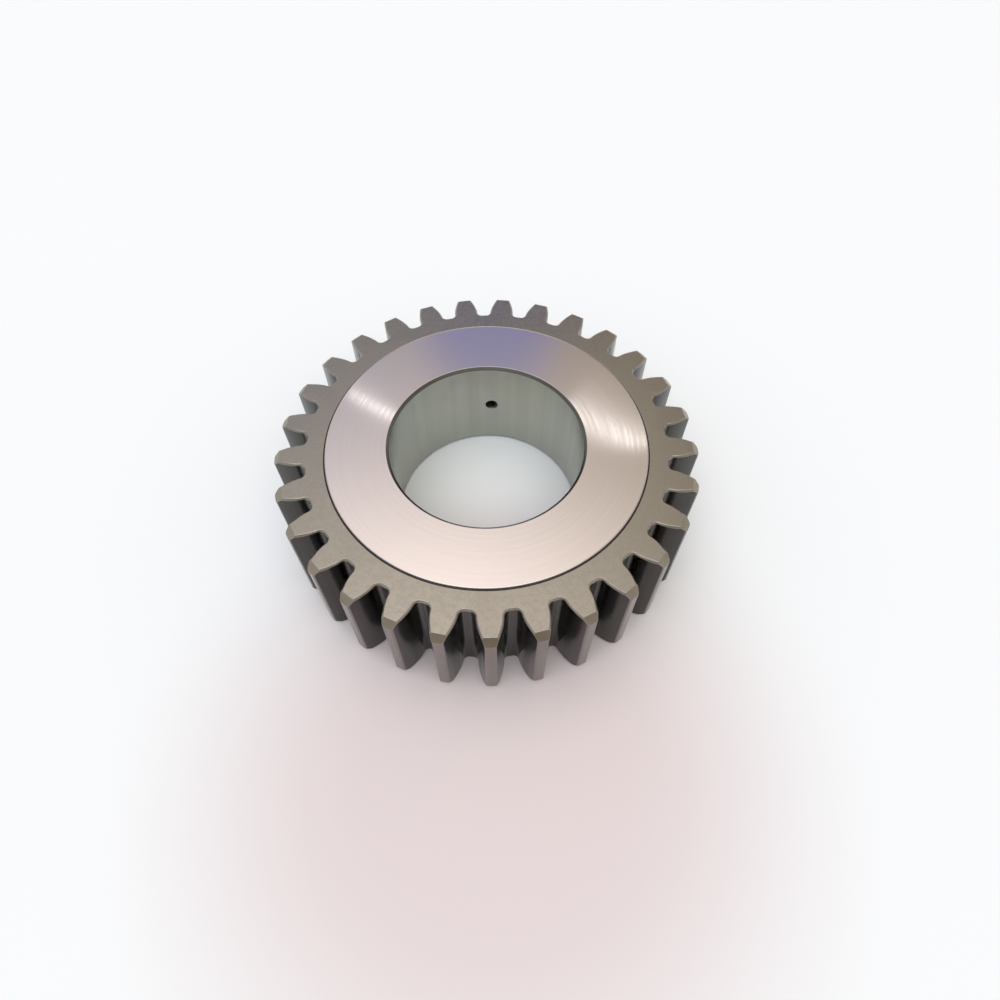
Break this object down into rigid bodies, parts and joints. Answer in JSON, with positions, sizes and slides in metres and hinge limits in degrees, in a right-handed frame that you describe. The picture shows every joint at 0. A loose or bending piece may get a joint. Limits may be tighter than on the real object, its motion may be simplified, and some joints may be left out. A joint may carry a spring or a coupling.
{
  "type": "planet gear",
  "caption": "Spur planet gear with a plain bore, raised ground thrust faces and a radial oil hole, for carrying on rollers over a planet pin.",
  "frame": {"origin": "centre of the bore, half way between the two thrust faces", "axes": "+Z along the bore, +Y through the tooth space that the oil hole opens into"},
  "size_m": [0.124, 0.1238, 0.035],
  "materials": {
    "gear_steel": "case-hardened steel: ground thrust faces, honed bore, duller turned rim and ground tooth flanks"
  },
  "bodies": {
    "root": {"planet_gear": "gear_steel"}
  },
  "joints": []
}
